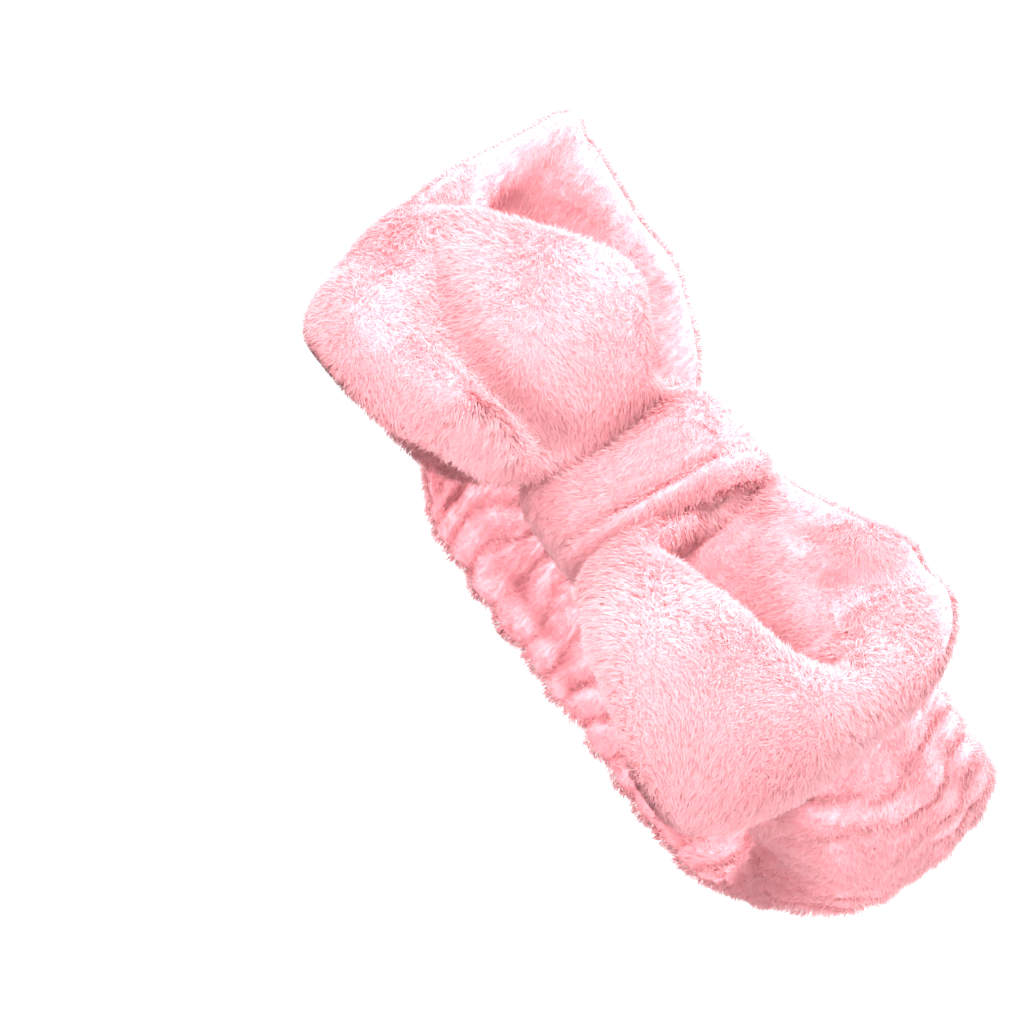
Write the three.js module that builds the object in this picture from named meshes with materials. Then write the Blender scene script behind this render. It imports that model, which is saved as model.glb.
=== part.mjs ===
// A plush spa headband with a bow, standing on its lower edge as on a table.
// Millimetres, +Z up, the bow towards -Y. X runs from ear to ear and Y from forehead to nape.
// The origin is under the middle of the headband, on the surface it stands on.
// A fleece tube with a loop of elastic inside goes round the head. The bow is a padded strip bent into
// two hollow loops and pinched at its waist, and the knot wraps waist and band together.
import * as THREE from "three";

// Cloth and thread
const FLEECE = 4.5; // one layer of plush, with its pile
const PLAY = 0.4; // left between pieces that lie against each other
const THREAD = 0.6; // diameter of the sewing thread
const SEAM_PLAY = THREAD + 2 * PLAY; // room for a line of thread between two layers

// The band, a fleece tube bent into an oval
const BAND_WIDTH = 70;
const BAND_THICKNESS = 14;
const BAND_CORNER = 5;
const SEAM_SLIT = 1.6; // where the tube's long edges meet, on the face towards the head
const RING_LENGTH = 234; // over the outside, ear to ear
const RING_DEPTH = 128; // over the outside, forehead to nape
const RING_SQUARENESS = 2.3; // 2 is an ellipse, more is squarer
const FRONT_LIFT = 18; // the bow holds the band this much higher in front than at the back
const FLAT_SHARE = 0.8; // of the way from the ears to the nape, behind which the band lies on the table
const RING_STEPS = 34; // stations round each half of the ring

// The elastic inside the band
const ELASTIC_WIDTH = 25;
const ELASTIC_THICKNESS = 1.2;
const ELASTIC_LAP = 24; // how far its two ends overlap

// The knot
const KNOT_LENGTH = 34; // along the bow
const GATHERED_WIDTH = 46; // of the band where the knot squeezes it
const GATHER_RUN = 24; // how far from the knot the band takes to spread to its full width

// The bow
const WAIST_THICKNESS = 20;
const WAIST_WIDTH = 43;
const WAIST_PLEATS = 7;
const LOOP_THICKNESS = 8; // the padded strip that the loops are bent from
const LOOP_REACH = 103; // from the middle of the bow to the end of a loop
const LOOP_HEIGHT = 102;
const LOOP_NECK_HEIGHT = 52;
const LOOP_BULGE = 44; // how far its front layer stands out before the middle of the waist
const LOOP_BACK_BULGE = 15;
const LOOP_STEPS = 56;
const GATHER_TURNS = 4;

// Places that follow from the sizes. The band's hollow holds the elastic's lap and its stitches, and the
// two layers of fleece share the rest of the band's thickness.
const bandHollow = 2 * ELASTIC_THICKNESS + THREAD + 5 * PLAY;
const bandLayer = (BAND_THICKNESS - bandHollow) / 2;
const ringHalfLength = (RING_LENGTH - BAND_THICKNESS) / 2;
const ringHalfDepth = (RING_DEPTH - BAND_THICKNESS) / 2;
const knotHeight = BAND_WIDTH / 2 + FRONT_LIFT; // of the knot's middle above the table
const bandFront = -RING_DEPTH / 2;
const bandInside = bandFront + BAND_THICKNESS;
const waistBack = bandFront - SEAM_PLAY;
const waistMiddle = waistBack - WAIST_THICKNESS / 2;
const waistFront = waistBack - WAIST_THICKNESS;
const knotCorner = BAND_CORNER + SEAM_PLAY + FLEECE / 2;
const waistHalfLength = KNOT_LENGTH / 2 + PLAY;
const loopStart = waistHalfLength + PLAY;

const smooth = (t) => THREE.MathUtils.smoothstep(t, 0, 1);
const powered = (value, power) => Math.sign(value) * Math.abs(value) ** power;

// A closed solid through a row of outlines. A station has a centre, a side and an up direction, and the
// outline's points are measured along those two. A closed row joins its last station to its first.
function loft(stations, closed = false) {
  const count = stations[0].outline.length;
  const positions = stations.flatMap(({ centre, side, up, outline }) =>
    outline.flatMap((point) =>
      centre
        .clone()
        .addScaledVector(side, point.x)
        .addScaledVector(up, point.y)
        .toArray(),
    ),
  );
  const index = [];
  const rows = closed ? stations.length : stations.length - 1;
  for (let i = 0; i < rows; i++) {
    const here = i * count;
    const there = ((i + 1) % stations.length) * count;
    for (let j = 0; j < count; j++) {
      const next = (j + 1) % count;
      index.push(here + j, here + next, there + next, here + j, there + next, there + j);
    }
  }
  if (!closed) {
    index.push(...cap(stations[0].outline, 0, true));
    index.push(...cap(stations.at(-1).outline, rows * count, false));
  }
  const geometry = new THREE.BufferGeometry();
  geometry.setAttribute("position", new THREE.Float32BufferAttribute(positions, 3));
  geometry.setIndex(signedVolume(positions, index) < 0 ? index.reverse() : index);
  return geometry;
}

// The triangles that close an outline, turned the outline's own way or the other way.
function cap(outline, start, reversed) {
  const runsForward = THREE.ShapeUtils.area(outline) > 0;
  return THREE.ShapeUtils.triangulateShape(outline, []).flatMap((triangle) => {
    const corners = triangle.map((i) => outline[i]);
    const matches = THREE.ShapeUtils.area(corners) > 0 === runsForward;
    const turned = matches === reversed ? [...triangle].reverse() : triangle;
    return turned.map((i) => start + i);
  });
}

function signedVolume(positions, index) {
  const corner = (i) => new THREE.Vector3().fromArray(positions, index[i] * 3);
  let sum = 0;
  for (let i = 0; i < index.length; i += 3) {
    sum += corner(i).dot(corner(i + 1).cross(corner(i + 2)));
  }
  return sum / 6;
}

// Outlines, in (side, up) coordinates
function roundedRectangle(width, height, radius, segments = 2) {
  const points = [];
  for (let corner = 0; corner < 4; corner++) {
    const middle = new THREE.Vector2(
      (corner === 0 || corner === 3 ? 1 : -1) * (width / 2 - radius),
      (corner < 2 ? 1 : -1) * (height / 2 - radius),
    );
    for (let i = 0; i <= segments; i++) {
      const angle = ((corner + i / segments) * Math.PI) / 2;
      points.push(
        new THREE.Vector2(radius * Math.cos(angle), radius * Math.sin(angle)).add(middle),
      );
    }
  }
  return points;
}

function polygon(diameter, sides = 6) {
  return Array.from({ length: sides }, (_, i) => {
    const angle = (i / sides) * 2 * Math.PI;
    return new THREE.Vector2(Math.cos(angle), Math.sin(angle)).multiplyScalar(diameter / 2);
  });
}

// The band's tube: two layers of fleece with a flat hollow between them, open along a slit in the inner face.
function tubeOutline(height) {
  const outer = roundedRectangle(BAND_THICKNESS, height, BAND_CORNER);
  const upperInner = outer.slice(0, 6);
  const lowerInner = outer.slice(6);
  const hollow = bandHollow / 2;
  const hollowTop = height / 2 - bandLayer;
  const lip = SEAM_SLIT / 2;
  const at = (x, y) => new THREE.Vector2(x, y);
  return [
    ...upperInner,
    at(-BAND_THICKNESS / 2, lip),
    at(-hollow, lip),
    at(-hollow, hollowTop),
    at(hollow, hollowTop),
    at(hollow, -hollowTop),
    at(-hollow, -hollowTop),
    at(-hollow, -lip),
    at(-BAND_THICKNESS / 2, -lip),
    ...lowerInner,
  ];
}

// A station on the ring. turn runs once round, from the +X side over the back and the -X side to the front,
// and outwards is a distance from the middle of the band's thickness.
function ringStation(turn, outwards = 0, raise = 0) {
  const power = 2 / RING_SQUARENESS;
  const x = ringHalfLength * powered(Math.cos(turn), power);
  const y = ringHalfDepth * powered(Math.sin(turn), power);
  const side = new THREE.Vector3(
    powered(x / ringHalfLength, RING_SQUARENESS - 1) / ringHalfLength,
    powered(y / ringHalfDepth, RING_SQUARENESS - 1) / ringHalfDepth,
    0,
  ).normalize();
  const rise = 1 - y / (FLAT_SHARE * ringHalfDepth);
  const lift = FRONT_LIFT * THREE.MathUtils.clamp(rise, 0, 1);
  const centre = new THREE.Vector3(x, y, BAND_WIDTH / 2 + lift + raise);
  return { centre: centre.addScaledVector(side, outwards), side, up: new THREE.Vector3(0, 0, 1) };
}

// The turn at which the ring is this far from its front middle along X, for the lap and its stitches.
const turnAtX = (x) =>
  1.5 * Math.PI + Math.asin(powered(x / ringHalfLength, RING_SQUARENESS / 2));
const turnsBetween = (from, to, steps) =>
  Array.from({ length: steps + 1 }, (_, i) => from + ((to - from) * i) / steps);

// The two halves of the tube stop just short of each other at the ears.
const earGap = Math.asin((PLAY / 2 / ringHalfDepth) ** (RING_SQUARENESS / 2));
const frontTurns = turnsBetween(Math.PI + earGap, 2 * Math.PI - earGap, RING_STEPS);
const backTurns = turnsBetween(earGap, Math.PI - earGap, RING_STEPS);

// The band keeps its width at the back, and is squeezed to the gathered width under the knot.
function bandWidthAt(station) {
  if (station.centre.y > 0) return BAND_WIDTH;
  const spread = smooth((Math.abs(station.centre.x) - KNOT_LENGTH / 2) / GATHER_RUN);
  return THREE.MathUtils.lerp(GATHERED_WIDTH, BAND_WIDTH, spread);
}

function bandCover(turns) {
  return loft(
    turns.map((turn) => {
      const station = ringStation(turn);
      return { ...station, outline: tubeOutline(bandWidthAt(station)) };
    }),
  );
}

// A round thread through a row of points.
function thread(points, steps = points.length - 1) {
  const curve = new THREE.CatmullRomCurve3(points, false, "centripetal");
  const section = new THREE.Shape(polygon(THREAD));
  return new THREE.ExtrudeGeometry(section, {
    steps,
    extrudePath: curve,
    bevelEnabled: false,
  });
}

const UP = new THREE.Vector3(0, 0, 1);

function longSeam(turns) {
  const depth = -BAND_THICKNESS / 2 + bandLayer / 2;
  return thread(turns.map((turn) => ringStation(turn, depth).centre));
}

// The elastic lies against the inner layer. Its last stretch rides over its first, where the two are sewn.
const elasticPlace = -bandHollow / 2 + PLAY + ELASTIC_THICKNESS / 2;
const lapPlace = elasticPlace + ELASTIC_THICKNESS + PLAY;
function elastic() {
  const lapStart = turnAtX(-ELASTIC_LAP / 2);
  const lapEnd = turnAtX(ELASTIC_LAP / 2);
  const climb = turnAtX(ELASTIC_LAP / 2 + GATHER_RUN) - lapEnd;
  const outline = roundedRectangle(ELASTIC_THICKNESS, ELASTIC_WIDTH, ELASTIC_THICKNESS / 3, 1);
  const whole = lapEnd - lapStart + 2 * Math.PI;
  return loft(
    turnsBetween(lapStart, lapStart + whole, 4 * RING_STEPS).map((turn) => {
      const ridden = smooth((turn - (lapStart + 2 * Math.PI - climb)) / climb);
      const place = THREE.MathUtils.lerp(elasticPlace, lapPlace, ridden);
      return { ...ringStation(turn, place), outline };
    }),
  );
}

// A zigzag of thread, with its corners cut so that it bends round them.
function zigzag(strokes, place) {
  const points = [];
  for (let i = 0; i <= strokes; i++) {
    const swing = i % 2 ? 1 : -1;
    for (const nudge of [-0.12, 0.12]) {
      const along = THREE.MathUtils.clamp(i + nudge, 0, strokes) / strokes;
      if (points.length && along === points.at(-1).along) continue;
      points.push({ along, swing });
    }
  }
  return points.map(({ along, swing }) => place(along, swing));
}

function elasticStitch() {
  const place = lapPlace + ELASTIC_THICKNESS / 2 + PLAY + THREAD / 2;
  const reach = ELASTIC_LAP / 3;
  return thread(
    zigzag(6, (along, swing) => {
      const turn = turnAtX(THREE.MathUtils.lerp(-reach, reach, along));
      return ringStation(turn, place, swing * ELASTIC_WIDTH * 0.35).centre;
    }),
  );
}

// The seam that joins the tube's two ends, a loop of thread round the band in the middle of the knot.
function closingSeam() {
  const grow = 2 * PLAY + THREAD;
  const path = roundedRectangle(
    BAND_THICKNESS + grow,
    GATHERED_WIDTH + grow,
    BAND_CORNER + grow / 2,
    3,
  );
  const middle = (bandFront + bandInside) / 2;
  const points = path.map((p) => new THREE.Vector3(0, middle + p.x, knotHeight + p.y));
  return thread(points, 5 * points.length);
}

// The pinched middle of the bow's strip: pleated at its ends and bound tight in the middle.
const pinchAt = (x) => 1 - 0.16 * (1 - smooth((Math.abs(x) - GATHER_TURNS) / 4));
function waistOutline(x) {
  const pleat = 0.05 * smooth((Math.abs(x) - GATHER_TURNS) / 6);
  const outline = [];
  for (let i = 0; i < 42; i++) {
    const angle = (i / 42) * 2 * Math.PI;
    const size = pinchAt(x) * (1 - pleat * (1 + Math.cos(WAIST_PLEATS * angle)) * 0.5);
    outline.push(
      new THREE.Vector2(
        size * (WAIST_THICKNESS / 2) * powered(Math.cos(angle), 0.8),
        size * (WAIST_WIDTH / 2) * powered(Math.sin(angle), 0.8),
      ),
    );
  }
  return outline;
}

function waist() {
  const places = [1, 0.75, 0.5, 0.3, 0.12].map((share) => share * waistHalfLength);
  return loft(
    [...places.map((x) => -x), 0, ...places.reverse()].map((x) => ({
      centre: new THREE.Vector3(x, waistMiddle, knotHeight),
      side: new THREE.Vector3(0, -1, 0),
      up: UP,
      outline: waistOutline(x),
    })),
  );
}

function gatherThread() {
  const pitch = THREAD + PLAY;
  const steps = 22;
  const clear = PLAY + THREAD / 2;
  const points = [];
  for (let i = 0; i <= GATHER_TURNS * steps; i++) {
    const angle = (i / steps) * 2 * Math.PI;
    const x = (i / steps - GATHER_TURNS / 2) * pitch;
    points.push(
      new THREE.Vector3(
        x,
        waistMiddle - (pinchAt(0) * (WAIST_THICKNESS / 2) + clear) * powered(Math.cos(angle), 0.8),
        knotHeight + (pinchAt(0) * (WAIST_WIDTH / 2) + clear) * powered(Math.sin(angle), 0.8),
      ),
    );
  }
  return thread(points);
}

// The stitches that join the bow strip's two ends behind the waist.
function stripEndStitch() {
  const y = waistBack + PLAY + THREAD / 2;
  return thread(
    zigzag(6, (along, swing) => {
      const z = knotHeight + THREE.MathUtils.lerp(-0.3, 0.3, along) * WAIST_WIDTH;
      return new THREE.Vector3(waistHalfLength * 0.65 + swing * 2.5, y, z);
    }),
  );
}

// The knot: a strip of fleece round the waist and the band, whose ends meet behind the band.
const knotFrontFace = waistFront - SEAM_PLAY - FLEECE;
const knotBackFace = bandInside + SEAM_PLAY + FLEECE;
function knotPath() {
  const path = roundedRectangle(
    knotBackFace - knotFrontFace - FLEECE,
    GATHERED_WIDTH + 2 * SEAM_PLAY + FLEECE,
    knotCorner,
    4,
  );
  const back = knotBackFace - FLEECE / 2;
  const middle = (knotBackFace + knotFrontFace) / 2;
  const ends = [SEAM_SLIT / 2, -SEAM_SLIT / 2].map(
    (z) => new THREE.Vector3(0, back, knotHeight + z),
  );
  return [
    ends[0],
    ...path.map((p) => new THREE.Vector3(0, middle + p.x, knotHeight + p.y)),
    ends[1],
  ];
}

function knot() {
  const points = knotPath();
  const outline = roundedRectangle(FLEECE, KNOT_LENGTH, FLEECE / 3);
  return loft(
    points.map((centre, i) => {
      const before = points[Math.max(i - 1, 0)];
      const after = points[Math.min(i + 1, points.length - 1)];
      const tangent = after.clone().sub(before).normalize();
      const up = new THREE.Vector3(1, 0, 0);
      return { centre, side: up.clone().cross(tangent), up, outline };
    }),
  );
}

function knotStitch() {
  const y = knotBackFace + PLAY + THREAD / 2;
  return thread(
    zigzag(9, (along, swing) => {
      const x = THREE.MathUtils.lerp(-0.42, 0.42, along) * KNOT_LENGTH;
      return new THREE.Vector3(x, y, knotHeight + swing * 2.5);
    }),
  );
}

// A loop of the bow: the padded strip goes out along the back, turns at the end and returns in front.
// The hand is 1 for the loop towards +X and -1 for the other.
const loopNeckRadius = LOOP_THICKNESS / 2 + PLAY;
const loopPathStart = loopStart + LOOP_THICKNESS / 2;
const loopPathEnd = LOOP_REACH - LOOP_THICKNESS / 2;
const loopShare = (x) => (Math.abs(x) - loopPathStart) / (loopPathEnd - loopPathStart);
function loopPath(hand) {
  const back = LOOP_BACK_BULGE - LOOP_THICKNESS / 2;
  const front = LOOP_BULGE - LOOP_THICKNESS / 2;
  const neck = loopNeckRadius / (loopPathEnd - loopPathStart);
  const outline = [
    [0, 0],
    [neck, loopNeckRadius],
    [0.42, 0.82 * back],
    [0.78, back],
    [1, (back - front) / 2],
    [0.88, -0.92 * front],
    [0.68, -front],
    [0.38, -0.7 * front],
    [neck, -loopNeckRadius],
  ];
  const points = outline.map(([share, out]) => {
    const x = THREE.MathUtils.lerp(loopPathStart, loopPathEnd, share);
    return new THREE.Vector3(hand * x, waistMiddle + out, 0);
  });
  return new THREE.CatmullRomCurve3(points, true, "centripetal");
}

function loopStation(hand, path, turn, inwards = 0) {
  const centre = path.getPointAt(turn);
  const side = UP.clone().cross(path.getTangentAt(turn)).multiplyScalar(hand);
  const spread = smooth(loopShare(centre.x) / 0.7);
  const height = THREE.MathUtils.lerp(LOOP_NECK_HEIGHT, LOOP_HEIGHT, spread);
  centre.addScaledVector(side, -inwards);
  centre.z = THREE.MathUtils.lerp(knotHeight, LOOP_HEIGHT / 2, spread);
  return { centre, side, up: UP, outline: roundedRectangle(LOOP_THICKNESS, height, 3) };
}

function loop(hand) {
  const path = loopPath(hand);
  const turns = Array.from({ length: LOOP_STEPS }, (_, i) => i / LOOP_STEPS);
  return loft(turns.map((turn) => loopStation(hand, path, turn)), true);
}

// The strip's long edges meet on the side of the hollow.
function loopSeam(hand) {
  const path = loopPath(hand);
  const inwards = LOOP_THICKNESS / 2 + PLAY + THREAD / 2;
  return thread(
    turnsBetween(0.2, 0.8, LOOP_STEPS / 2).map(
      (turn) => loopStation(hand, path, turn, inwards).centre,
    ),
  );
}

// Finishes
const plush = new THREE.MeshStandardMaterial({ color: 0xf9c3cf, roughness: 1, metalness: 0 });
const woven = new THREE.MeshStandardMaterial({ color: 0xf4f1ee, roughness: 0.8, metalness: 0 });
const cotton = new THREE.MeshStandardMaterial({ color: 0xf2b3c1, roughness: 0.7, metalness: 0 });

const headband = new THREE.Group();
function add(name, geometry, material) {
  const mesh = new THREE.Mesh(geometry, material);
  mesh.name = name;
  headband.add(mesh);
}

add("band_cover_front", bandCover(frontTurns), plush);
add("band_cover_back", bandCover(backTurns), plush);
add("band_seam_front", longSeam(frontTurns), cotton);
add("band_seam_back", longSeam(backTurns), cotton);
add("band_closing_seam", closingSeam(), cotton);
add("elastic_band", elastic(), woven);
add("elastic_lap_stitch", elasticStitch(), cotton);
add("bow_waist", waist(), plush);
add("bow_gather_thread", gatherThread(), cotton);
add("bow_strip_end_stitch", stripEndStitch(), cotton);
add("bow_loop_left", loop(-1), plush);
add("bow_loop_right", loop(1), plush);
add("bow_loop_seam_left", loopSeam(-1), cotton);
add("bow_loop_seam_right", loopSeam(1), cotton);
add("knot_wrap", knot(), plush);
add("knot_closing_stitch", knotStitch(), cotton);

// The origin comes under the middle of the whole headband.
const middle = new THREE.Box3().setFromObject(headband).getCenter(new THREE.Vector3());
headband.position.y = -middle.y;

export default headband;
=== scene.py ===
"""A plush spa headband with a bow: fleece skins, their pile, the stitching and the elastic."""

import math

import bmesh
import bpy
import numpy as np
from mathutils import Matrix, Vector, noise


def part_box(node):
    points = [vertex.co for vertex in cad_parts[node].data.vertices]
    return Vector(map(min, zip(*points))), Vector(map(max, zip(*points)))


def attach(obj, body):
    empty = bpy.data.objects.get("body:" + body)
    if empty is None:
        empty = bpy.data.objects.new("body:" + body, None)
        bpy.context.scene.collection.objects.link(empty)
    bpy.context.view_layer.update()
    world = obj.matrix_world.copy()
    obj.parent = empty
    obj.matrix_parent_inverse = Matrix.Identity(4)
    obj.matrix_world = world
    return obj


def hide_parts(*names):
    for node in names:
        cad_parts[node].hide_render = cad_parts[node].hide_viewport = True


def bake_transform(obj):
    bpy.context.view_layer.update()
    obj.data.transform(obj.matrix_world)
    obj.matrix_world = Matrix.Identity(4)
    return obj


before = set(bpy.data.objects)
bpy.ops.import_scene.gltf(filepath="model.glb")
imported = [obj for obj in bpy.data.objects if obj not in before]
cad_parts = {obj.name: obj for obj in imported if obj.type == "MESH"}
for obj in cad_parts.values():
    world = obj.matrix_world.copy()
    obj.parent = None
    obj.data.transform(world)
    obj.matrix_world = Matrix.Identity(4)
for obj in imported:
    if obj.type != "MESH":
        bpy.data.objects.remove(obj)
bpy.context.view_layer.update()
MM = 0.001

# ---------------------------------------------------------------- studio
# A long lens looks at the knot from a little to the bow's right and from just below, and is rolled, so that
# the bow hangs down to the right as it does when the headband leans on something.
TURN = math.radians(20)
RISE = math.radians(-3)
ROLL = math.radians(54)
LENS = 123.5
LENS_DISTANCE = 0.95
AIM_LEFT = 33.2 * MM  # of the knot, as the lens sees it
AIM_BELOW = 12.7 * MM
WHITE = (1, 1, 1, 1)
PAPER_WHITE = (0.93, 0.925, 0.93, 1)
knot_low, knot_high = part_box("knot_wrap")
knot_face = Vector((0, knot_low.y, (knot_low.z + knot_high.z) / 2))
level = Vector((math.cos(TURN), math.sin(TURN), 0))
towards_lens = Vector(
    (math.sin(TURN) * math.cos(RISE), -math.cos(TURN) * math.cos(RISE), math.sin(RISE))
)
upright = towards_lens.cross(level)
picture_right = level * math.cos(ROLL) + upright * math.sin(ROLL)
picture_up = upright * math.cos(ROLL) - level * math.sin(ROLL)
aim = knot_face - picture_right * AIM_LEFT - picture_up * AIM_BELOW

camera = bpy.data.objects.new("camera", bpy.data.cameras.new("camera"))
camera.data.lens = LENS
camera.data.sensor_width = 36
camera.matrix_world = Matrix.Translation(aim + towards_lens * LENS_DISTANCE) @ Matrix(
    (picture_right, picture_up, towards_lens)
).transposed().to_4x4()
bpy.context.collection.objects.link(camera)
bpy.context.scene.camera = camera
bpy.context.scene.view_settings.view_transform = "Standard"
bpy.context.scene.view_settings.exposure = 0.78


def nodes_of(name):
    """A new material with its own Principled shader, and a short way to add and join nodes."""
    material = bpy.data.materials.new(name)
    material.use_nodes = True
    tree = material.node_tree
    shader = tree.nodes["Principled BSDF"]

    def node(kind, **values):
        made = tree.nodes.new("ShaderNode" + kind)
        for key, value in values.items():
            if hasattr(made, key):
                setattr(made, key, value)
            else:
                made.inputs[key].default_value = value
        return made

    return material, shader, node, tree.links.new


# The floor is a pale disc that fades into the white world, so that no edge of it shows. Only its upper
# side is paper: from below it is clear.
FLOOR_RADIUS = 0.55
bm = bmesh.new()
bmesh.ops.create_circle(bm, cap_ends=True, segments=96, radius=FLOOR_RADIUS)
floor_mesh = bpy.data.meshes.new("floor")
bm.to_mesh(floor_mesh)
bm.free()
floor = bpy.data.objects.new("floor", floor_mesh)
bpy.context.collection.objects.link(floor)
paper, shader, node, join = nodes_of("pale_paper")
shader.inputs["Base Color"].default_value = PAPER_WHITE
shader.inputs["Roughness"].default_value = 0.9
place = node("TexCoord")
reach = node("VectorMath", operation="LENGTH")
fade = node("MapRange")
fade.inputs["From Min"].default_value = FLOOR_RADIUS * 0.35
fade.inputs["From Max"].default_value = FLOOR_RADIUS * 0.95
fade.interpolation_type = "SMOOTHSTEP"
underside = node("NewGeometry")
hidden = node("Math", operation="MAXIMUM")
clear = node("BsdfTransparent")
blend = node("MixShader")
join(place.outputs["Object"], reach.inputs[0])
join(reach.outputs["Value"], fade.inputs["Value"])
join(fade.outputs["Result"], hidden.inputs[0])
join(underside.outputs["Backfacing"], hidden.inputs[1])
join(hidden.outputs[0], blend.inputs[0])
join(shader.outputs[0], blend.inputs[1])
join(clear.outputs[0], blend.inputs[2])
join(blend.outputs[0], paper.node_tree.nodes["Material Output"].inputs["Surface"])
floor_mesh.materials.append(paper)

world = bpy.data.worlds.new("white")
world.use_nodes = True
world.node_tree.nodes["Background"].inputs["Color"].default_value = WHITE
world.node_tree.nodes["Background"].inputs["Strength"].default_value = 0.8
bpy.context.scene.world = world


def soft_light(name, offset, size, power):
    """A square lamp, at offset from the knot's face and turned towards it."""
    lamp = bpy.data.objects.new(name, bpy.data.lights.new(name, "AREA"))
    lamp.data.size = size
    lamp.data.energy = power
    lamp.location = knot_face + Vector(offset)
    lamp.rotation_euler = (-Vector(offset)).to_track_quat("-Z", "Y").to_euler()
    bpy.context.collection.objects.link(lamp)


soft_light("key_light", (-1.1, -0.6, 0.45), 0.45, 13)
soft_light("top_light", (0.0, -0.7, 0.9), 0.45, 16)
soft_light("fill_light", (0.45, -1.6, 0.12), 0.7, 10)

# ---------------------------------------------------------------- band cover
# A tube of coral fleece, sewn along the inside and pulled over a shorter elastic, so that it gathers into
# small puffs all the way round. The knot squeezes it narrow in front.
RING_SQUARENESS = 2.3
BAND_WIDTH = 70 * MM
BAND_THICKNESS = 14 * MM
GATHERED_WIDTH = 46 * MM
GATHER_RUN = 24 * MM
FRONT_LIFT = 18 * MM
EAR_LIFT = 3 * MM  # more at the ears, where the stretched edges pull the bends up
FLAT_SHARE = 0.8  # of the way from the ears to the nape, behind which the band lies on the table
PILE_DEPTH = 2.6 * MM  # of the solid's outer part that is pile, not cloth
KNOT_HALF = 17 * MM
PUFFS = 43
PUFF_RISE = 3.0
PINCH_RISE = 1.7
LEAVES = 98000  # tufts in one mesh of pile
GROUND_DEEP = (0.90, 0.40, 0.45, 1)
GROUND_PALE = (0.94, 0.50, 0.55, 1)
ROOT_PINK = (0.93, 0.46, 0.49, 1)
MIDDLE_PINK = (0.95, 0.55, 0.585, 1)
TIP_PINK = (0.97, 0.63, 0.66, 1)
DARK_TUFT = (0.96, 0.87, 0.88, 1)
SHEEN_PINK = (1.0, 0.86, 0.9, 1)

front_low, front_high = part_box("band_cover_front")
back_low, back_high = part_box("band_cover_back")
ring_middle = (front_low.y + back_high.y) / 2
ring_depth = back_high.y - front_low.y
half_length = (front_high.x - front_low.x - BAND_THICKNESS) / 2 - 0.7 * MM
half_depth = (ring_depth - BAND_THICKNESS) / 2


def smooth(t):
    t = np.clip(t, 0, 1)
    return t * t * (3 - 2 * t)


def powered(value, power):
    return np.sign(value) * np.abs(value) ** power


def waves(points, size, seed):
    """Soft noise between about -1 and 1 at each point; size is how far apart its hills are, in metres."""
    shift = Vector((seed * 17.3, seed * 7.1, seed * 3.7))
    return np.array([noise.noise(Vector(p) / size + shift) for p in points])


def skin(name, around, across, shape):
    """A closed skin. shape turns the shares round the piece and round its section into points."""
    bm = bmesh.new()
    bmesh.ops.create_grid(bm, x_segments=around, y_segments=across, size=0.5)
    share = np.array([v.co[:2] for v in bm.verts]) + 0.5
    for vertex, point in zip(bm.verts, shape(share[:, 0], share[:, 1])):
        vertex.co = point
    bmesh.ops.remove_doubles(bm, verts=bm.verts, dist=1e-6)
    bmesh.ops.recalc_face_normals(bm, faces=bm.faces)
    mesh = bpy.data.meshes.new(name)
    bm.to_mesh(mesh)
    bm.free()
    mesh.shade_smooth()
    piece = bpy.data.objects.new(name, mesh)
    bpy.context.collection.objects.link(piece)
    return piece


def read(mesh, what, count=3):
    values = np.empty(len(mesh.vertices) * count)
    mesh.vertices.foreach_get(what, values)
    return values.reshape(-1, count)


def swell(piece, amount):
    """Moves the skin along its normals by amount, which is worked out from its points and normals."""
    mesh = piece.data
    points = read(mesh, "co")
    normals = np.array([n.vector[:] for n in mesh.vertex_normals])
    mesh.vertices.foreach_set("co", (points + normals * amount(points, normals)[:, None]).ravel())
    mesh.update()


def ruffle(piece, height, size, seed):
    """The uneven softness of stuffed cloth."""
    swell(piece, lambda points, normals: height * MM * waves(points, size * MM, seed))


def ring_line(share):
    """The band's centre line, evenly spaced, with the way out of the ring at each place."""
    power = 2 / RING_SQUARENESS
    turns = np.linspace(0, 2 * np.pi, 2001)
    line = np.stack(
        [half_length * powered(np.cos(turns), power), half_depth * powered(np.sin(turns), power)], 1
    )
    steps = np.linalg.norm(np.diff(line, axis=0), axis=1)
    length = np.concatenate([[0], np.cumsum(steps)])
    turn = np.interp(share * length[-1], length, turns)
    x = half_length * powered(np.cos(turn), power)
    y = half_depth * powered(np.sin(turn), power)
    out = np.stack(
        [
            powered(x / half_length, RING_SQUARENESS - 1) / half_length,
            powered(y / half_depth, RING_SQUARENESS - 1) / half_depth,
        ],
        1,
    )
    return x, y, out / np.linalg.norm(out, axis=1)[:, None]


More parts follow.
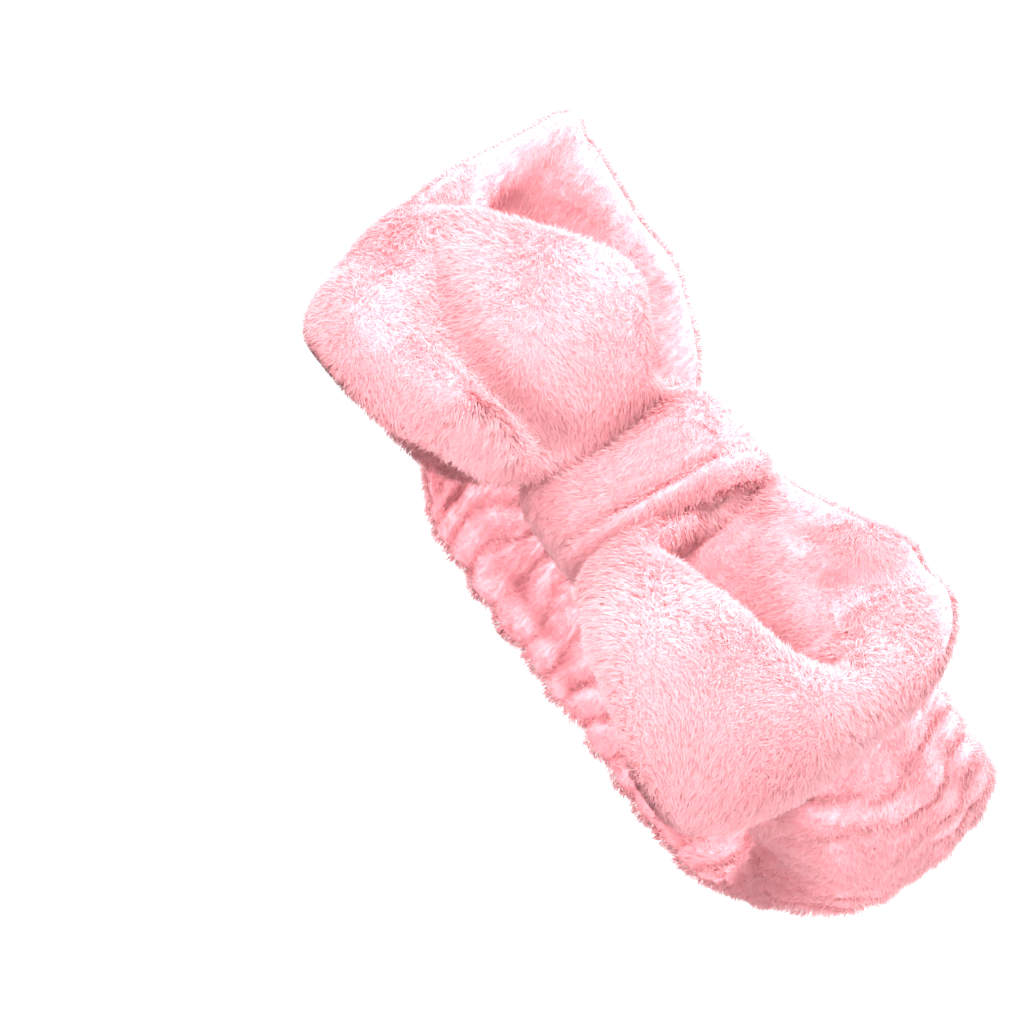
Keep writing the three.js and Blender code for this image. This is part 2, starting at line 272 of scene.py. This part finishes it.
def band_shape(share, section):
    x, y, out = ring_line(share)
    angle = section * 2 * np.pi
    spread = np.where(y > 0, 1, smooth((np.abs(x) - KNOT_HALF) / GATHER_RUN))
    width = GATHERED_WIDTH + (BAND_WIDTH - GATHERED_WIDTH) * spread - 2 * PILE_DEPTH
    thick = BAND_THICKNESS - 2 * PILE_DEPTH
    up = powered(np.sin(angle), 0.72)
    # The gathers wander as they cross the band, and each puff is pinched at its own heights.
    round_turn = 2 * np.pi * share
    wander = 0.30 * np.sin(3.1 * up + 6 * round_turn) + 0.22 * np.sin(5.3 * up - 10 * round_turn)
    phase = share * PUFFS + wander * (1 - 0.5 * up**4)
    puff = np.abs(np.sin(np.pi * phase)) ** 0.75
    row = np.floor(phase) % PUFFS
    pinch = np.abs(np.sin(1.9 * np.pi * up + 2.4 * np.sin(row * 12.9))) ** 0.8
    bulge = (puff - 0.55) * (PUFF_RISE + 1.4 * np.sin(row * 4.1)) + (pinch - 0.5) * PINCH_RISE
    bulge *= np.where(spread < 0.4, 0.35, 1) * MM
    offset = (thick / 2) * powered(np.cos(angle), 0.8)
    offset += np.sign(np.cos(angle)) * np.abs(np.cos(angle)) ** 0.5 * bulge
    lift = FRONT_LIFT * np.clip(1 - y / (FLAT_SHARE * half_depth), 0, 1)
    lift = lift + EAR_LIFT * np.abs(x / half_length) ** 4
    height = up * (width / 2 + 0.45 * bulge - 1.7 * MM)
    # The two edges are drawn in at the ears, the lower one more, so that the bends there are domed.
    drawn = 1 - ((0.15 - 0.1 * up) * np.abs(up) ** 3.2 - 0.015 * up) * np.abs(x / half_length) ** 3
    flat = np.stack([x * drawn, y], 1) + out * offset[:, None]
    return np.column_stack([flat[:, 0], flat[:, 1] + ring_middle, BAND_WIDTH / 2 + lift + height])


band = skin("band_fleece", 1032, 72, band_shape)
ruffle(band, 1.3, 7, 13)
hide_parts("band_cover_front", "band_cover_back")


def backing_cloth():
    """The knitted ground of the fleece, which shows only deep between the tufts."""
    material, shader, node, join = nodes_of("fleece_ground")
    place = node("TexCoord")
    mottle = node("TexNoise", Scale=260.0, Detail=3.0)
    tint = node("ValToRGB")
    tint.color_ramp.elements[0].color = GROUND_DEEP
    tint.color_ramp.elements[1].color = GROUND_PALE
    tint.color_ramp.elements[0].position = 0.3
    tint.color_ramp.elements[1].position = 0.7
    bump = node("Bump", Strength=0.6, Distance=0.0006)
    join(place.outputs["Object"], mottle.inputs["Vector"])
    join(mottle.outputs["Fac"], tint.inputs["Fac"])
    join(tint.outputs["Color"], shader.inputs["Base Color"])
    join(mottle.outputs["Fac"], bump.inputs["Height"])
    join(bump.outputs["Normal"], shader.inputs["Normal"])
    shader.inputs["Roughness"].default_value = 1.0
    return material


ground = backing_cloth()
band.data.materials.append(ground)

TONES = 16  # how many tones the tufts have


def plush_pile():
    """The tufts: deep pink at the root and pale at the tip, each with a tone of its own."""
    material, shader, node, join = nodes_of("plush_pile")
    chart = node("UVMap", uv_map="OFBake")
    split = node("SeparateXYZ")
    along = node("ValToRGB")
    elements = along.color_ramp.elements
    elements[0].position = 0.02
    elements[0].color = ROOT_PINK
    elements[1].position = 0.95
    elements[1].color = TIP_PINK
    middle = elements.new(0.5)
    middle.color = MIDDLE_PINK
    tone = node("ValToRGB")
    tone.color_ramp.elements[0].color = DARK_TUFT
    tone.color_ramp.elements[1].color = WHITE
    mix = node("Mix", data_type="RGBA", blend_type="MULTIPLY")
    mix.inputs["Factor"].default_value = 1
    join(chart.outputs["UV"], split.inputs["Vector"])
    join(split.outputs["Y"], along.inputs["Fac"])
    join(split.outputs["X"], tone.inputs["Fac"])
    join(along.outputs["Color"], mix.inputs["A"])
    join(tone.outputs["Color"], mix.inputs["B"])
    join(mix.outputs["Result"], shader.inputs["Base Color"])
    shader.inputs["Roughness"].default_value = 0.85
    shader.inputs["Specular IOR Level"].default_value = 0.15
    shader.inputs["Sheen Weight"].default_value = 0.35
    shader.inputs["Sheen Roughness"].default_value = 0.5
    shader.inputs["Sheen Tint"].default_value = SHEEN_PINK
    # Light passes through the thin tufts.
    through = node("BsdfTranslucent")
    both = node("MixShader")
    both.inputs[0].default_value = 0.5
    join(mix.outputs["Result"], through.inputs["Color"])
    join(shader.outputs[0], both.inputs[1])
    join(through.outputs[0], both.inputs[2])
    join(both.outputs[0], material.node_tree.nodes["Material Output"].inputs["Surface"])
    return material


pile_material = plush_pile()


CLUMP = 1.4 * MM


def unit(vectors):
    return vectors / np.maximum(np.linalg.norm(vectors, axis=1), 1e-9)[:, None]


def grow_pile(skin_piece, name, count, seed, length=3.0 * MM, width=0.24 * MM, keep=None):
    """Tufts all over a skin, as thin leaves that rise, bend over along the nap and lean into clumps."""
    rng = np.random.default_rng(seed)
    mesh = skin_piece.data
    mesh.calc_loop_triangles()
    corners = np.empty(len(mesh.loop_triangles) * 3, dtype=np.int64)
    mesh.loop_triangles.foreach_get("vertices", corners)
    corners = corners.reshape(-1, 3)
    points = read(mesh, "co")
    normals = np.array([n.vector[:] for n in mesh.vertex_normals])
    a, b, c = (points[corners[:, i]] for i in range(3))
    area = np.linalg.norm(np.cross(b - a, c - a), axis=1)
    if keep is not None:
        area = area * keep((a + b + c) / 3, normals[corners[:, 0]])
    chosen = rng.choice(len(corners), size=count, p=area / area.sum())
    share = rng.dirichlet((1, 1, 1), size=count)
    root = (points[corners[chosen]] * share[:, :, None]).sum(1)
    normal = unit((normals[corners[chosen]] * share[:, :, None]).sum(1))

    # The nap runs along the piece and swirls a little where hands have ruffled it.
    lay = np.tile(np.array([0.35, 0.0, -1.0]), (count, 1))
    drift = np.stack(
        [
            np.sin(root[:, 0] / (13 * MM) + root[:, 2] / (9 * MM) + seed),
            np.sin(root[:, 1] / (11 * MM) - root[:, 0] / (17 * MM)),
            np.sin(root[:, 2] / (12 * MM) + root[:, 0] / (10 * MM)),
        ],
        1,
    )
    lay = lay + 0.9 * drift + rng.normal(0, 0.35, (count, 3))
    lay = unit(lay - normal * (lay * normal).sum(1)[:, None])

    # Tufts within about two millimetres lean towards one tip.
    jitter = rng.normal(0, 0.35 * MM, (count, 3))
    cell = np.floor((root + jitter) / CLUMP).astype(np.int64)
    _, clump = np.unique(cell, axis=0, return_inverse=True)
    clump = clump.ravel()
    size = np.bincount(clump)
    heart = np.stack([np.bincount(clump, root[:, k]) / size for k in range(3)], 1)
    aim = np.stack([np.bincount(clump, lay[:, k]) / size for k in range(3)], 1)
    stir = rng.normal(0, 0.35, (len(size), 3))
    long = length * (1 + 0.16 * rng.normal(size=count)) * (1 + 0.12 * rng.normal(size=len(size)))[clump]
    long = np.clip(long, 0.5 * length, 1.5 * length)[:, None]
    bend = unit(lay + aim[clump] + stir[clump])
    rise = unit(normal + 0.35 * bend)
    over = unit(normal * 0.75 + bend)
    middle = root + rise * long * 0.5
    tip = middle + over * long * 0.5
    tip = tip + 0.3 * (heart[clump] + over * long * 0.9 + normal * long * 0.25 - tip)
    middle = middle + 0.15 * (heart[clump] - root)
    across = unit(np.cross(normal, bend) + rng.normal(0, 0.35, (count, 3)))
    half = (width / 2) * (1 + 0.25 * rng.normal(size=count))[:, None]
    root = root - normal * 0.3 * MM
    verts = np.stack([root, middle - across * half, middle + across * half, tip], 1)
    verts[:, :, 2] = np.maximum(verts[:, :, 2], 0.15 * MM)
    first = np.arange(count)[:, None] * 4
    faces = np.concatenate([first + [0, 2, 1], first + [1, 2, 3]], 1).reshape(-1, 3)
    facing = np.cross(verts[:, 2] - verts[:, 0], verts[:, 1] - verts[:, 0])
    away = (facing * normal).sum(1) < 0
    turned = np.repeat(away, 2)
    faces[turned] = faces[turned][:, ::-1]

    leaves = bpy.data.meshes.new(name)
    leaves.from_pydata(verts.reshape(-1, 3), [], faces)
    tone = 0.5 + 0.11 * rng.normal(size=count) + 0.13 * rng.normal(size=len(size))[clump]
    tone = np.clip((tone * TONES).astype(int), 0, TONES - 1)
    chart = np.stack(
        [
            np.stack([(tone + 0.5) / TONES, np.full(count, 0.02)], 1),
            np.stack([(tone + 0.1) / TONES, np.full(count, 0.5)], 1),
            np.stack([(tone + 0.9) / TONES, np.full(count, 0.5)], 1),
            np.stack([(tone + 0.5) / TONES, np.full(count, 0.98)], 1),
        ],
        1,
    ).reshape(-1, 2)
    leaves.uv_layers.new(name="OFBake")
    leaves.uv_layers["OFBake"].uv.foreach_set("vector", chart[faces.ravel()].ravel())
    shade = unit(normal + 0.25 * bend + rng.normal(0, 0.12, (count, 3)))
    leaves.shade_smooth()
    leaves.normals_split_custom_set_from_vertices(np.repeat(shade, 4, axis=0).tolist())
    leaves.materials.append(pile_material)
    piece = bpy.data.objects.new(name, leaves)
    bpy.context.collection.objects.link(piece)
    return piece


def outer_face(points, normals):
    """Full pile where the band shows, and less on the inner face."""
    middle = np.stack([points[:, 0], points[:, 1] - ring_middle], 1)
    outwards = (middle * normals[:, :2]).sum(1) > 0
    return np.where(outwards, 1.0, 0.6)


band_pieces = [band] + [
    grow_pile(band, f"band_pile_{i + 1}", LEAVES, 11 + i, keep=outer_face)
    for i in range(3)
]
for piece in band_pieces:
    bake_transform(piece)

# ---------------------------------------------------------------- bow loops
# The two ends of a padded fleece strip, bent round into hollow loops. The strip's front layer is lower
# than its back layer, because its upper edge has rolled inwards over the hollow.
LOOP_PILE = 2.0  # millimetres of pile taken off each face
CURL_LEAVES = 9000
waist_low, waist_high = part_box("bow_waist")
waist_middle = (waist_low.y + waist_high.y) / 2

# Each row is a place along the strip in millimetres: how far out from the bow's middle, how far behind
# the waist's middle, the strip's lower and upper edges, its thickness, and how far its upper edge leans
# back.
LEFT_LOOP = [
    (16, 3, 42, 84, 12, 0),
    (28, 7, 25, 94, 15, -5),
    (46, 10, 11, 101, 18, -11),
    (68, 12, 6, 102, 18, -13),
    (87, 7, 8, 102, 16, -9),
    (94, -6, 12, 100, 15, -2),
    (90, -21, 4, 55, 18, 2),
    (77, -31, 0, 63, 23, 6),
    (60, -35, 0, 76, 24, 7),
    (43, -34, 4, 84, 23, 7),
    (28, -29, 13, 80, 20, 3),
    (17, -21, 22, 73, 14, 0),
]
RIGHT_LOOP = [
    (18, 2, 40, 82, 13, 0),
    (30, 6, 24, 90, 17, -6),
    (50, 6, 13, 98, 20, -12),
    (70, 3, 9, 103, 22, -14),
    (85, -4, 8, 98, 20, -9),
    (91, -15, 7, 84, 19, -2),
    (87, -26, 1, 66, 21, 2),
    (73, -34, 1, 55, 24, 5),
    (55, -36, 7, 51, 24, 6),
    (38, -32, 12, 47, 22, 4),
    (23, -19, 19, 48, 16, 0),
]


def along_strip(rows, share):
    """The row at each share of the way round the closed strip, on a smooth curve through all rows."""
    rows = np.array(rows, dtype=float)
    count = len(rows)
    place = share * count
    first = np.floor(place).astype(int)
    t = (place - first)[:, None]
    p0, p1, p2, p3 = (rows[(first + k) % count] for k in (-1, 0, 1, 2))
    return 0.5 * (
        2 * p1
        + (p2 - p0) * t
        + (2 * p0 - 5 * p1 + 4 * p2 - p3) * t**2
        + (3 * p1 - p0 - 3 * p2 + p3) * t**3
    )


def loop_shape(rows, hand, splay):
    """The shape of one loop. hand is its side, and splay tips its far end's upper edge outwards."""

    def shape(share, section):
        out, back, low, high, thick, lean = along_strip(rows, share).T
        ahead = along_strip(rows, share + 1e-4)
        behind = along_strip(rows, share - 1e-4)
        way = unit((ahead - behind)[:, :2])
        side = np.stack([-way[:, 1], way[:, 0]], 1)
        angle = section * 2 * np.pi
        half = (high - low) / 2 - PILE_DEPTH / MM
        up = powered(np.sin(angle), 0.85)
        sideways = (thick / 2 - LOOP_PILE) * powered(np.cos(angle), 0.9)
        x = out + side[:, 0] * sideways + splay * up * (out / 100) ** 3
        y = back + side[:, 1] * sideways + lean * up
        z = (high + low) / 2 + half * up
        return np.column_stack([hand * x * MM, waist_middle + y * MM, z * MM])

    return shape


def groove(piece, path, depth, width):
    """Presses a soft fold into a skin along a path of points, in millimetres, from the bow's middle."""
    path = np.array(path, dtype=float) * MM + np.array([0, waist_middle, 0])

    def pressed(points, normals):
        nearest = np.full(len(points), 1.0)
        for start, end in zip(path[:-1], path[1:]):
            way = end - start
            t = np.clip(((points - start) @ way) / (way @ way), 0, 1)
            nearest = np.minimum(
                nearest, np.linalg.norm(points - start - t[:, None] * way, axis=1)
            )
        return -depth * MM * np.exp(-((nearest / (width * MM)) ** 2))

    swell(piece, pressed)


left_loop = skin("bow_loop_left_fleece", 300, 90, loop_shape(LEFT_LOOP, -1, splay=8))
right_loop = skin("bow_loop_right_fleece", 300, 90, loop_shape(RIGHT_LOOP, 1, splay=0))
# The fold between the upper pad and the roll below it, which curls up to the knot.
FOLD = [(-70, -46, 41), (-60, -48, 36), (-48, -48, 33), (-34, -44, 33), (-20, -36, 35), (-12, -28, 38)]
groove(left_loop, FOLD, 6, 6)
groove(left_loop, FOLD[1:], 9, 6)
ROLL = [(-80, -42, 16), (-60, -47, 13), (-44, -47, 17), (-30, -42, 24), (-20, -36, 29)]
groove(left_loop, ROLL, -4, 9)
# The far end of each hollow is shallow, where the two layers come together.
groove(left_loop, [(-78, -12, 50), (-84, -12, 60)], -5, 10)
groove(right_loop, [(74, -14, 56), (84, -14, 68)], -6, 9)
# The left hollow is deeper under its upper rim.
groove(left_loop, [(-40, 4, 88), (-60, 2, 86), (-76, 0, 80), (-86, -4, 68)], 4, 9)
# The creases that fan out from the knot, and the notch under its hem.
groove(right_loop, [(20, -34, 51), (26, -39, 46), (32, -44, 40)], 6, 3)
groove(right_loop, [(20, -6, 62), (34, -9, 64), (46, -10, 67)], 4, 3)
groove(right_loop, [(20, -6, 68), (34, -8, 74), (42, -9, 80)], 4, 3)
groove(right_loop, [(56, -9, 74), (65, -11, 86), (70, -10, 98)], 4, 6)
groove(left_loop, [(-20, -4, 70), (-32, -6, 76), (-40, -8, 84)], 3, 4)
ruffle(left_loop, 1.8, 26, 3)
ruffle(right_loop, 1.8, 26, 5)


def inside_less(points, normals):
    """Less pile on the faces of the hollow, which nobody sees."""
    out = np.abs(points[:, 0]) / MM
    middle = waist_middle - np.clip(out - 20, 0, 60) * 0.25 * MM
    inward = (points[:, 1] - middle) * normals[:, 1] < 0
    return np.where(inward, 0.45, 1.0)


def near(x, y, z, size):
    """Pile on one spot only, for a place where it is longer."""
    spot = np.array([x, y, z]) * MM + np.array([0, waist_middle, 0])
    return lambda points, normals: np.exp(
        -((np.linalg.norm(points - spot, axis=1) / (size * MM)) ** 2)
    )


for piece, hand, side in ((left_loop, -1, "left"), (right_loop, 1, "right")):
    piece.data.materials.append(ground)
    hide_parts(f"bow_loop_{side}", f"bow_loop_seam_{side}")
    piles = [
        grow_pile(piece, f"bow_loop_{side}_pile_{i + 1}", LEAVES, 31 + hand + 5 * i, keep=inside_less)
        for i in range(2)
    ]
    if side == "left":
        # The roll's tip, which curls up beside the knot, has longer and thicker tufts.
        curl = near(-20, -40, 24, 8)
        piles.append(grow_pile(piece, "bow_curl_pile", CURL_LEAVES, 71, 4.2 * MM, 0.3 * MM, curl))
    for part in (piece, *piles):
        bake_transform(part)

# ---------------------------------------------------------------- waist
# The middle of the bow strip, pleated and bound with thread. The knot covers it, so it has no pile here.
WAIST_PLEATS = 7
WAIST_SLACK = 0.6 * MM  # between the skin and the solid it stands for


def waist_shape(share, section):
    span = waist_high.x - waist_low.x
    x = (share - 0.5) * span
    closed = np.minimum(1, np.minimum(share, 1 - share) / 0.04) ** 0.5
    angle = section * 2 * np.pi
    tight = 1 - 0.16 * np.exp(-((x / (5 * MM)) ** 2))
    pleat = 1 - 0.06 * (1 + np.cos(WAIST_PLEATS * angle)) * (1 - np.exp(-((x / (6 * MM)) ** 2)))
    half_deep = (waist_high.y - waist_low.y) / 2 - WAIST_SLACK
    half_high = (waist_high.z - waist_low.z) / 2 - WAIST_SLACK
    size = closed * tight * pleat
    y = waist_middle + size * half_deep * powered(np.cos(angle), 0.8)
    z = (waist_high.z + waist_low.z) / 2 + size * half_high * powered(np.sin(angle), 0.8)
    return np.column_stack([x, y, z])


waist = skin("bow_waist_fleece", 60, 84, waist_shape)
waist.data.materials.append(ground)
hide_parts("bow_waist")
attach(waist, "front")

# ---------------------------------------------------------------- knot
# A short strip of fleece wrapped round the waist and the band and sewn behind. Its edge towards +X is
# turned under into a thick hem.
KNOT_THICKNESS = 4.2 * MM
KNOT_TILT = 0.13
HEM_RISE = 2.6 * MM
HEM_PLACE = 11.5 * MM
HEM_FOLD = 2.0 * MM  # how deep the hem's edge is pressed into the wrap
HEM_FOLD_PLACE = 7.0 * MM
CROWN_RISE = 2.4 * MM
KNOT_LEAVES = 80000


def knot_shape(share, section):
    low, high = knot_low, knot_high
    angle = share * 2 * np.pi
    half_deep = (high.y - low.y) / 2 - 2 * MM
    half_high = (high.z - low.z) / 2 - 0.5 * MM
    round_y = powered(np.cos(angle), 0.55)
    round_z = powered(np.sin(angle), 0.6)
    turn = section * 2 * np.pi
    half_span = (high.x - low.x) / 2 - 1.5 * MM
    along = powered(np.cos(turn), 0.8)
    rise = powered(np.sin(turn), 0.8)
    x = along * half_span
    front = smooth((0.2 - round_y) / 0.8)
    hem = HEM_RISE * np.exp(-(((x - HEM_PLACE) / (3.6 * MM)) ** 2)) * front
    crown = CROWN_RISE * (1 - along**4) * front
    dip = HEM_FOLD * np.exp(-(((x - HEM_FOLD_PLACE) / (1.6 * MM)) ** 2)) * front
    lift = np.where(rise > 0, rise, 0) * (hem + crown - dip)
    out = (rise - 1) * KNOT_THICKNESS / 2 + lift
    y = (low.y + high.y) / 2 + round_y * (half_deep + out)
    z = (low.z + high.z) / 2 + round_z * (half_high + out)
    x = x + KNOT_TILT * (z - (low.z + high.z) / 2) * front + 1.0 * MM * front
    return np.column_stack([x, y, z])


knot = skin("knot_fleece", 200, 80, knot_shape)
ruffle(knot, 1.2, 14, 9)
knot.data.materials.append(ground)
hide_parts("knot_wrap")
knot_pile = grow_pile(knot, "knot_pile", KNOT_LEAVES, 51)
for piece in (knot, knot_pile):
    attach(piece, "front")

# ---------------------------------------------------------------- thread and elastic
# Spun pink thread in every seam and stitch. The elastic is a flat white weave, lapped and stitched into a
# ring, which lies loose inside the band's cover and gathers it.
THREAD_DEEP = (0.72, 0.27, 0.35, 1)
THREAD_PALE = (0.9, 0.45, 0.54, 1)
WEAVE_GREY = (0.72, 0.71, 0.69, 1)
WEAVE_WHITE = (0.9, 0.89, 0.87, 1)


def spun_thread():
    material, shader, node, join = nodes_of("spun_thread")
    place = node("TexCoord")
    ply = node("TexWave", wave_type="BANDS", bands_direction="DIAGONAL", Scale=900.0)
    tint = node("ValToRGB")
    tint.color_ramp.elements[0].color = THREAD_DEEP
    tint.color_ramp.elements[1].color = THREAD_PALE
    join(place.outputs["Object"], ply.inputs["Vector"])
    join(ply.outputs["Color"], tint.inputs["Fac"])
    join(tint.outputs["Color"], shader.inputs["Base Color"])
    shader.inputs["Roughness"].default_value = 0.55
    return material


def woven_elastic():
    material, shader, node, join = nodes_of("woven_elastic")
    place = node("TexCoord")
    ribs = node("TexWave", wave_type="BANDS", bands_direction="Z", Scale=420.0)
    tint = node("ValToRGB")
    tint.color_ramp.elements[0].color = WEAVE_GREY
    tint.color_ramp.elements[1].color = WEAVE_WHITE
    bump = node("Bump", Strength=0.5, Distance=0.0003)
    join(place.outputs["Object"], ribs.inputs["Vector"])
    join(ribs.outputs["Color"], tint.inputs["Fac"])
    join(tint.outputs["Color"], shader.inputs["Base Color"])
    join(ribs.outputs["Fac"], bump.inputs["Height"])
    join(bump.outputs["Normal"], shader.inputs["Normal"])
    shader.inputs["Roughness"].default_value = 0.6
    return material


def stretching_elastic():
    """The elastic as a piece of its own, copied from its solid with its doubled points merged."""
    bm = bmesh.new()
    bm.from_mesh(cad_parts["elastic_band"].data)
    bmesh.ops.remove_doubles(bm, verts=bm.verts, dist=1e-6)
    mesh = bpy.data.meshes.new("elastic_weave")
    bm.to_mesh(mesh)
    bm.free()
    mesh.materials.append(woven_elastic())
    piece = bpy.data.objects.new("elastic_weave", mesh)
    bpy.context.collection.objects.link(piece)
    return piece


def finish_node(name, material):
    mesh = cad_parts[name].data
    mesh.materials.clear()
    mesh.materials.append(material)


thread = spun_thread()
for name in (
    "band_seam_front",
    "band_seam_back",
    "band_closing_seam",
    "elastic_lap_stitch",
    "bow_gather_thread",
    "bow_strip_end_stitch",
    "knot_closing_stitch",
):
    finish_node(name, thread)
elastic = stretching_elastic()
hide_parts("elastic_band")
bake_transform(elastic)
